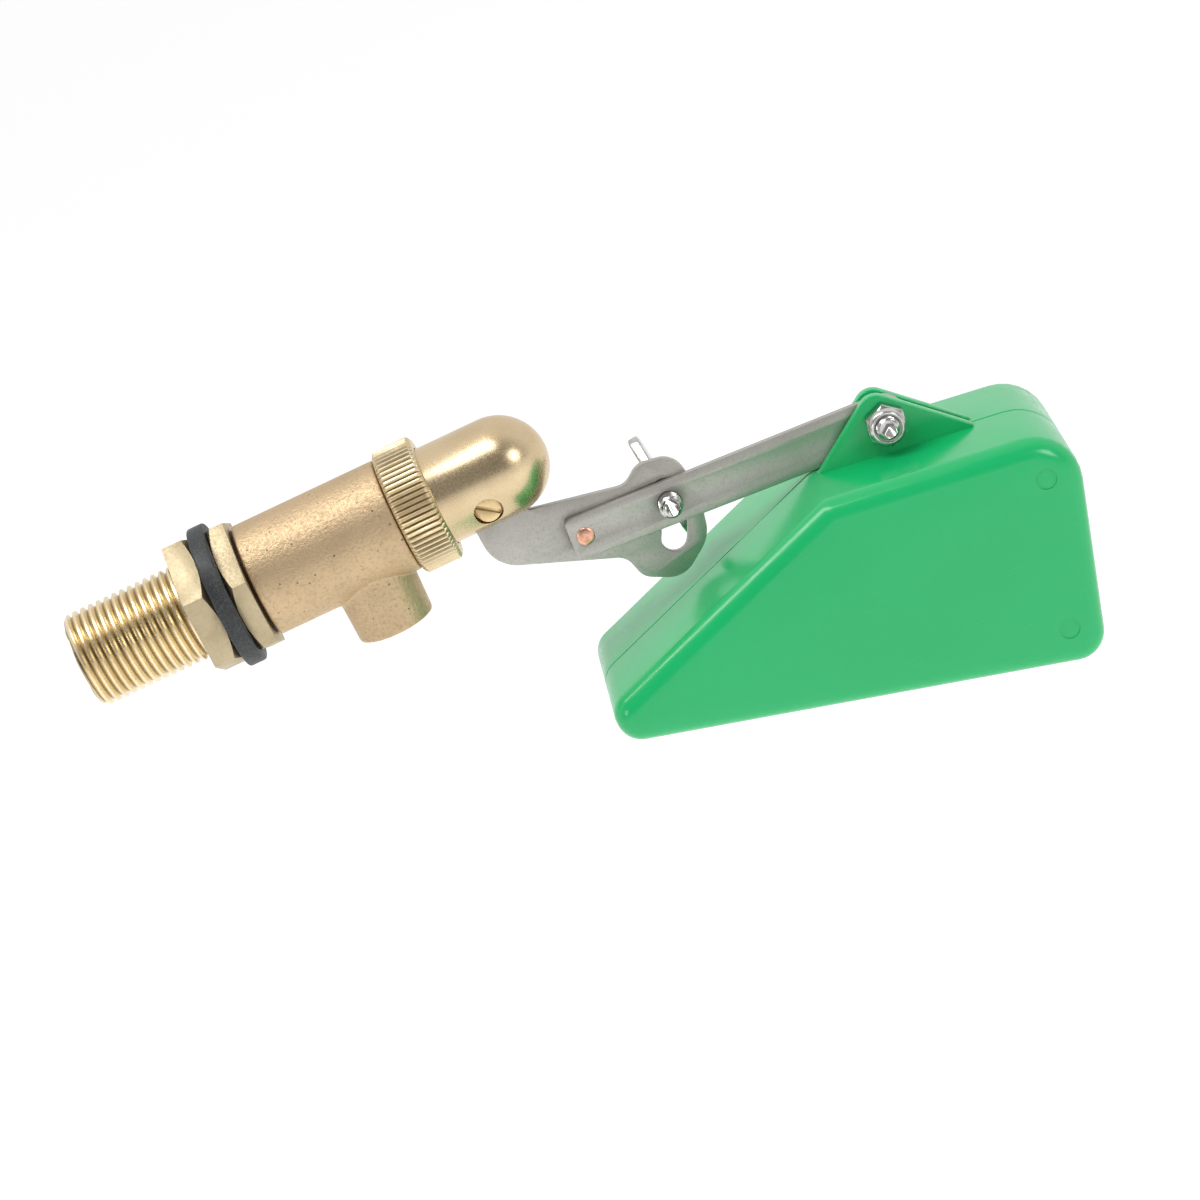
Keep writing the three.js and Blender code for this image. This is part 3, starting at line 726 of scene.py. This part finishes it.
def makePivotPin():
    spec = pinSpec
    start, end = spec["headStart"], spec["headEnd"]
    pin = turned("pin", [(start, 0), (start, spec["head"]), (end, spec["head"]), (end, spec["shank"]),
                         (spec["end"], spec["shank"]), (spec["end"], 0)], 64, "Y")
    half = spec["slotHalf"]
    groove = plate("groove", [(-4, -half), (4, -half), (4, half), (-4, half)], -9, spec["slotFloor"])
    placed(groove, Matrix.Rotation(math.radians(spec["slotTurn"]), 4, "Y"))
    carved(pin, groove)
    bevelled(pin, spec["edge"])
    moved(pin, *pivotAt)
    finished(smoothed(pin), "slotted_pin", innerBrass, "bonnet", "turned_brass", "pivot_pin")


makeBonnet()
makePivotPin()
print("bonnet and pin made")


# lever plate: (x, z, radius) corners measured from the pivot, slot angles about the rivet

leverSpec = {
    "corners": [(-5.5, 11.1, 5.4), (-4.4, -13.7, 8), (21.3, -23.9, 4), (22.8, -29.4, 4), (30.5, -33.4, 6),
                (39, -27.4, 8), (41.2, -16.9, 12), (39.5, -8, 5), (31.6, -6.6, 4.5), (27.6, -9.7, 4),
                (6.2, -5.3, 2), (5.5, 11.1, 5.4)],
    "half": 1.0, "pinHole": 2.05, "rivetHole": 1.7, "slotRadius": 18.95, "slotHalf": 2.75,
    "slotFrom": -30, "slotTo": 3, "edge": 0.16,
}


def bandOutline(radius, half, fromDegrees, toDegrees, steps=20):
    # a curved slot with round ends, about the origin
    ends = [(radius * math.cos(math.radians(a)), radius * math.sin(math.radians(a)))
            for a in (fromDegrees, toDegrees)]
    return (arc((0, 0), radius + half, fromDegrees, toDegrees, steps)
            + arc(ends[1], half, toDegrees, toDegrees + 180, 10)[1:]
            + arc((0, 0), radius - half, toDegrees, fromDegrees, steps)[1:]
            + arc(ends[0], half, fromDegrees + 180, fromDegrees + 360, 10)[1:-1])


def makeLeverPlate():
    spec = leverSpec
    half = spec["half"]
    outline = [(pivotAt.x + x, pivotAt.z + z) for x, z in rounded(spec["corners"])]
    lever = plate("lever", outline, -half, half)
    band = bandOutline(spec["slotRadius"], spec["slotHalf"], spec["slotFrom"], spec["slotTo"])
    carved(
        lever,
        plate("slot", [(rivetAt.x + x, rivetAt.z + z) for x, z in band], -half - 1, half + 1),
        rod("pinHole", -2, 2, spec["pinHole"], 48, "Y", (pivotAt.x, 0, pivotAt.z)),
        rod("rivetHole", -2, 2, spec["rivetHole"], 48, "Y", (rivetAt.x, 0, rivetAt.z)),
    )
    bevelled(lever, spec["edge"], 2, 45)
    finished(smoothed(lever), "pressed_lever", sheetStainless, "lever", "stainless", "lever_plate")


makeLeverPlate()
print("lever made")


# arm and rivet

armSpec = {"length": 67, "left": -3.3, "half": 4.6, "endHalf": 5.1, "front": -3.3, "back": -1.3,
           "leftRound": 1.4, "endRound": 5, "holes": ((0, 1.7), (18.95, 2.6), (67, 2.8)), "edge": 0.16}
armDrop = math.atan2(rivetAt.z - boltAt.z, boltAt.x - rivetAt.x)
rivetSpec = {"shank": 1.45, "front": -3.3, "back": 1.0, "head": 1.95, "height": 0.5}


def makeArm():
    spec = armSpec
    end = spec["length"] + spec["endHalf"]
    left, right = spec["leftRound"], spec["endRound"]
    outline = rounded([(spec["left"], -spec["half"], left), (end, -spec["endHalf"], right),
                       (end, spec["endHalf"], right), (spec["left"], spec["half"], left)])
    arm = plate("arm", outline, spec["front"], spec["back"])
    for x, radius in spec["holes"]:
        carved(arm, rod("hole", spec["front"] - 1, spec["back"] + 1, radius, 48, "Y", (x, 0, 0)))
    bevelled(arm, spec["edge"], 2, 45)
    placed(arm, Matrix.Translation(rivetAt * mm) @ Matrix.Rotation(armDrop, 4, "Y"))
    finished(smoothed(arm), "flat_arm", sheetStainless, "arm", "stainless", "lever_arm")


def makeRivet():
    # a turned rivet with a low round head on each side
    spec = rivetSpec
    angles = [math.pi / 2 * i / 8 for i in range(9)]
    head = [(spec["height"] * math.cos(a), spec["head"] * math.sin(a)) for a in angles]
    rivet = turned("rivet", [(spec["front"] - along, out) for along, out in head]
                   + [(spec["front"], spec["shank"]), (spec["back"], spec["shank"])]
                   + [(spec["back"] + along, out) for along, out in reversed(head)], 48, "Y", rivetAt)
    finished(smoothed(rivet, 45), "copper_rivet", brightCopper, "lever", "copper", "arm_rivet")


makeArm()
makeRivet()
print("arm and rivet made")


# wing screw, with (out, along, radius) corners for a wing

metricThread = {"radius": 2.5, "pitch": 0.8, "depth": 0.49}
wingSpec = {"start": -7.2, "end": 2, "chamfer": 0.5, "hubStart": 1.1, "hubEnd": 7.6, "hubRoot": 4.6,
            "hubTip": 3.7, "hubEdge": 0.5, "thickness": 2.4, "soft": 0.95, "tilt": -8,
            "wing": [(1, 2, 0.5), (8, 3.5, 3), (13.2, 8, 3), (12, 14.2, 3), (6.5, 11.5, 3), (1, 7.2, 1)]}


def makeWingScrew():
    spec = wingSpec
    shank = threadedRod("shank", {**metricThread, **spec}, 40, "Y")
    painted(smoothed(shank, 50), brightStainless)
    hub = turned("hub", [(spec["hubStart"], 0), (spec["hubStart"], spec["hubRoot"]),
                         (spec["hubEnd"], spec["hubTip"]), (spec["hubEnd"], 0)], 64, "Y")
    bevelled(hub, spec["hubEdge"], 3)
    # the wing's outline is turned so that its first number points up and its second along the screw
    standing = Matrix(((0, 1, 0, 0), (0, 0, 1, 0), (1, 0, 0, 0), (0, 0, 0, 1)))
    for side in (0, math.pi):
        wing = plate("wing", rounded(spec["wing"], 8), -spec["thickness"] / 2, spec["thickness"] / 2)
        bevelled(wing, spec["soft"], 4, 50)
        placed(wing, Matrix.Rotation(side, 4, "Y") @ standing)
        carved(hub, wing, operation="UNION")
    painted(smoothed(hub, 45), brightStainless)
    screw = joined("screw", hub, shank)
    tilt = Matrix.Rotation(math.radians(spec["tilt"]), 4, "Y")
    placed(screw, Matrix.Translation(screwAt * mm) @ tilt)
    finished(screw, "wing_bolt", None, "wing_screw", "bright_stainless", "wing_screw")


makeWingScrew()
print("wing screw made")


# float: two moulded halves with an ear each, corners measured from the bolt

floatSpec = {
    "corners": [(-77, -25, 5.2), (-18.5, -4, 5.5), (35.3, -11.8, 10.5), (21.5, -60.7, 6.2),
                (-77, -33.5, 5.6)],
    "ear": [(-17.6, -4.4, 0.3), (-0.5, 7.5, 4), (16.5, -8.5, 0.3), (16.2, -10, 0.3), (-17.6, -5.4, 0.3)],
    "middle": -2.3, "half": 26.5, "bevel": 4.2, "wall": 2.0, "seam": 0.02, "seamEdge": 0.4,
    "earStart": 1.3, "earThickness": 2.6, "earHole": 2.8, "earEdge": 0.35,
    "marks": [(24.9, -19.3), (16.4, -50.8)], "markRadius": 2.2, "markDepth": 0.22,
}


def selectFacesAt(obj, y):
    # selects the flat face at one distance along Y, and stays in edit mode
    activate(obj)
    bpy.ops.object.mode_set(mode="EDIT")
    bpy.ops.mesh.select_mode(type="FACE")
    bpy.ops.mesh.select_all(action="DESELECT")
    bpy.ops.object.mode_set(mode="OBJECT")
    for face in obj.data.polygons:
        face.select = all(abs(obj.data.vertices[v].co.y / mm - y) < 0.01 for v in face.vertices)
    bpy.ops.object.mode_set(mode="EDIT")


def makeFloatHalf(name, node, side):
    # side is -1 for the front half and 1 for the back half
    spec = floatSpec
    seam, face, earNear, earFar = (spec["middle"] + side * distance for distance in (
        spec["seam"], spec["half"], spec["earStart"], spec["earStart"] + spec["earThickness"]))
    shell = plate(name, rounded(spec["corners"], 8), seam, face)
    selectFacesAt(shell, face)
    bpy.ops.mesh.bevel(offset=spec["bevel"] * mm, segments=7, profile=0.5, affect="EDGES")
    selectFacesAt(shell, seam)
    bpy.ops.mesh.bevel(offset=spec["seamEdge"] * mm, segments=1, affect="EDGES")
    selectFacesAt(shell, seam)
    bpy.ops.mesh.delete(type="FACE")
    bpy.ops.object.mode_set(mode="OBJECT")
    modified(shell, "SOLIDIFY", thickness=spec["wall"] * mm, offset=-1, use_even_offset=True)
    earSides = sorted((earNear, earFar))
    ear = plate("ear", rounded(spec["ear"], 8), *earSides)
    bevelled(ear, spec["earEdge"], 3, 30)
    carved(shell, ear, operation="UNION")
    carved(shell, rod("earHole", earSides[0] - 2, earSides[1] + 2, spec["earHole"], 48, "Y"))
    if side < 0:
        floor = face + spec["markDepth"]
        for x, z in spec["marks"]:
            carved(shell, rod("mark", face - 1, floor, spec["markRadius"], 48, "Y", (x, 0, z)))
    moved(shell, boltAt.x, 0, boltAt.z)
    finished(smoothed(shell, 38), name, greenPlastic, "float", "green_plastic", node)


makeFloatHalf("float_front", "float_shell_front", -1)
makeFloatHalf("float_rear", "float_shell_back", 1)
print("float made")


# float bolt with its self-locking nut

boltSpec = {"flats": 8, "headStart": 1.9, "headEnd": 5.4, "start": -12.6, "end": 3, "chamfer": 0.45,
            "edge": 0.12}
# the collar and the pocket are (in from the nut's outer end, radius) points
nutSpec = {"flats": 8, "seat": -6.35, "hexEnd": -9.85, "outer": -11.35, "turn": 10, "edge": 0.1,
           "collar": [(0.8, 3.95), (0.25, 3.7), (0, 3.35), (0, 0)], "collarRadius": 3.95,
           "pocket": [(1.6, 2.72), (1.6, 3.35), (0.35, 3.35), (0.35, 3.05), (-1, 3.05), (-1, 0)],
           "bore": 2.72, "ring": [(0.45, 2.62), (0.45, 3.25), (1.5, 3.25), (1.5, 2.62)], "ringEdge": 0.12}
hexEnvelope = {"nearDrop": 0.25, "step": 0.45, "farDrop": 0.75, "clear": 0.02}


def domedHex(name, start, end, flats, turn, towards):
    # a small hex with its corners chamfered, more on the side that faces away from the clamped parts
    spec = hexEnvelope
    corner = flats / math.sqrt(3)
    near, far = (end, start) if towards < 0 else (start, end)
    step = spec["step"] * towards
    obj = hexRod(name, start, end, flats, turn, "Y")
    envelope = turned("envelope", [
        (near, 0), (near, corner - spec["nearDrop"]), (near + step * 0.4, corner + spec["clear"]),
        (far - step, corner + spec["clear"]), (far, corner - spec["farDrop"]), (far, 0),
    ], 64, "Y")
    return carved(obj, envelope, operation="INTERSECT")


def makeFloatBolt():
    spec = boltSpec
    shank = threadedRod("shank", {**metricThread, **spec}, 40, "Y")
    painted(smoothed(shank, 50), brightStainless)
    head = domedHex("head", spec["headStart"], spec["headEnd"], spec["flats"], 0, 1)
    painted(smoothed(bevelled(head, spec["edge"])), brightStainless)
    bolt = joined("bolt", head, shank)
    moved(bolt, boltAt.x, 0, boltAt.z)
    finished(bolt, "hex_bolt", None, "float", "bright_stainless", "float_bolt")


def makeLockingNut():
    spec = nutSpec
    seat, outer = spec["seat"], spec["outer"]
    nut = domedHex("nut", spec["hexEnd"], seat, spec["flats"], spec["turn"], -1)
    collar = [(outer + along, radius) for along, radius in spec["collar"]]
    carved(nut, turned("collar", [(seat - 1, 0), (seat - 1, spec["collarRadius"])] + collar, 64, "Y"),
           operation="UNION")
    pocket = [(outer + along, radius) for along, radius in spec["pocket"]]
    carved(nut, turned("pocket", [(seat + 1, 0), (seat + 1, spec["bore"])] + pocket, 64, "Y"))
    bevelled(nut, spec["edge"])
    moved(nut, boltAt.x, 0, boltAt.z)
    finished(smoothed(nut), "locking_nut", brightStainless, "float", "bright_stainless", "float_nut")
    ring = turned("ring", [(outer + along, radius) for along, radius in spec["ring"]], 64, "Y",
                  (boltAt.x, 0, boltAt.z))
    bevelled(ring, spec["ringEdge"])
    finished(smoothed(ring), "nylon_ring", whiteNylon, "float", "white_nylon", "float_nut_insert")


makeFloatBolt()
makeLockingNut()
print("float bolt and nut made")


# floor, light and camera

studio = {"floorDrop": 110, "floorSize": 60000, "front": 0.26, "around": 0.92, "fade": (-0.55, 0.05),
          "paper": 0.8, "glow": 0.42,
          "lamps": [  # place, target, width, depth, watts
              ((-60, -160, 620), (60, 0, -20), 620, 200, 2.4),
              ((620, -520, 240), (90, 0, -30), 260, 260, 1.2),
              ((-380, -420, 120), (10, 0, 0), 160, 160, 0.4)]}
cameraSpec = {"target": (67.9, 0, -35.8), "azimuth": 3.0, "elevation": 16.4, "roll": 26.0,
              "distance": 1200, "lens": 170.6, "nearClip": 10}


def makeStudio():
    spec = studio
    floorZ = cadBox[0][2] - spec["floorDrop"] * mm
    bpy.ops.object.select_all(action="DESELECT")
    bpy.ops.mesh.primitive_plane_add(size=spec["floorSize"] * mm, location=(0, 0, floorZ))
    floor = bpy.context.object
    floor.name = "studio_floor"
    placed(floor, floor.matrix_world.copy())
    paper = Finish("studio_paper")
    paper.set(Base_Color=rgb(*[spec["paper"]] * 3), Roughness=1.0, Specular_IOR_Level=0.0)
    paper.set(Emission_Color=rgb(1, 1, 1), Emission_Strength=spec["glow"])
    painted(floor, paper.made)
    # the room is darker on the side the light comes past, so that metal shows darker bands
    room = Finish("studio_world", bpy.data.worlds, "Background", "Generated")
    room.set(Color=room.stepped(room.axisSplit()[1], *spec["fade"], spec["front"], spec["around"]))
    bpy.context.scene.world = room.made
    for number, (place, target, width, depth, watts) in enumerate(spec["lamps"]):
        light = bpy.data.lights.new(f"softbox_{number}", "AREA")
        light.shape = "RECTANGLE"
        light.size = width * mm
        light.size_y = depth * mm
        light.energy = watts
        lamp = bpy.data.objects.new(light.name, light)
        bpy.context.scene.collection.objects.link(lamp)
        lamp.location = Vector(place) * mm
        lamp.rotation_euler = (Vector(place) - Vector(target)).to_track_quat("Z", "Y").to_euler()
    bpy.context.scene.view_settings.view_transform = "Standard"


def makeCamera():
    spec = cameraSpec
    azimuth, elevation, roll = (math.radians(spec[k]) for k in ("azimuth", "elevation", "roll"))
    back = Vector((math.sin(azimuth) * math.cos(elevation), -math.cos(azimuth) * math.cos(elevation),
                   math.sin(elevation)))
    level = Vector((math.cos(azimuth), math.sin(azimuth), 0))
    upright = back.cross(level)
    right = level * math.cos(roll) - upright * math.sin(roll)
    up = back.cross(right)
    camera = bpy.data.objects.new("camera", bpy.data.cameras.new("camera"))
    bpy.context.scene.collection.objects.link(camera)
    camera.data.lens = spec["lens"]
    camera.data.clip_start = spec["nearClip"] * mm
    turn = Matrix((right, up, back)).transposed().to_4x4()
    place = Vector(spec["target"]) + back * spec["distance"]
    camera.matrix_world = Matrix.Translation(place * mm) @ turn
    bpy.context.scene.camera = camera


makeStudio()
makeCamera()
print("studio made")
